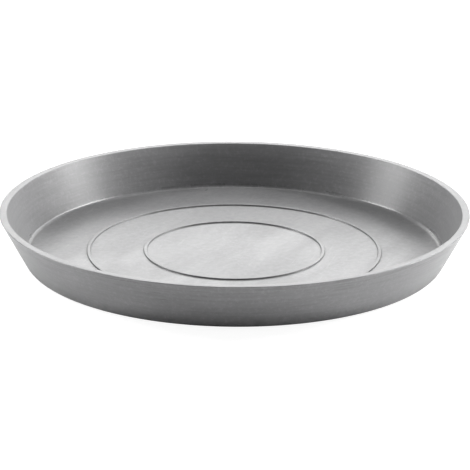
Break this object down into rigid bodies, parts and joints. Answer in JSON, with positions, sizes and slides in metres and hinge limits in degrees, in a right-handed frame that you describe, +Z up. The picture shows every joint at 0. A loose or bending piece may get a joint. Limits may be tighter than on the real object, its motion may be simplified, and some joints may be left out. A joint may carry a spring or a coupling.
{
  "type": "plant saucer",
  "caption": "Round shallow plant saucer with a leaning side wall, a blunt flat rim and low concentric ribs on its floor that carry a pot clear of the water.",
  "frame": {"origin": "on the saucer's axis, at the surface that its foot stands on", "axes": "+Z up along the axis of the dish; X and Y lie in the plane of the foot, and the dish is round, so their heading is free"},
  "size_m": [0.3, 0.3, 0.032],
  "materials": {
    "dish": "satin grey moulded plastic with a mineral filler, faintly streaked round the wall and scuffed on the floor"
  },
  "bodies": {
    "root": {"saucer_dish": "dish"}
  },
  "joints": []
}
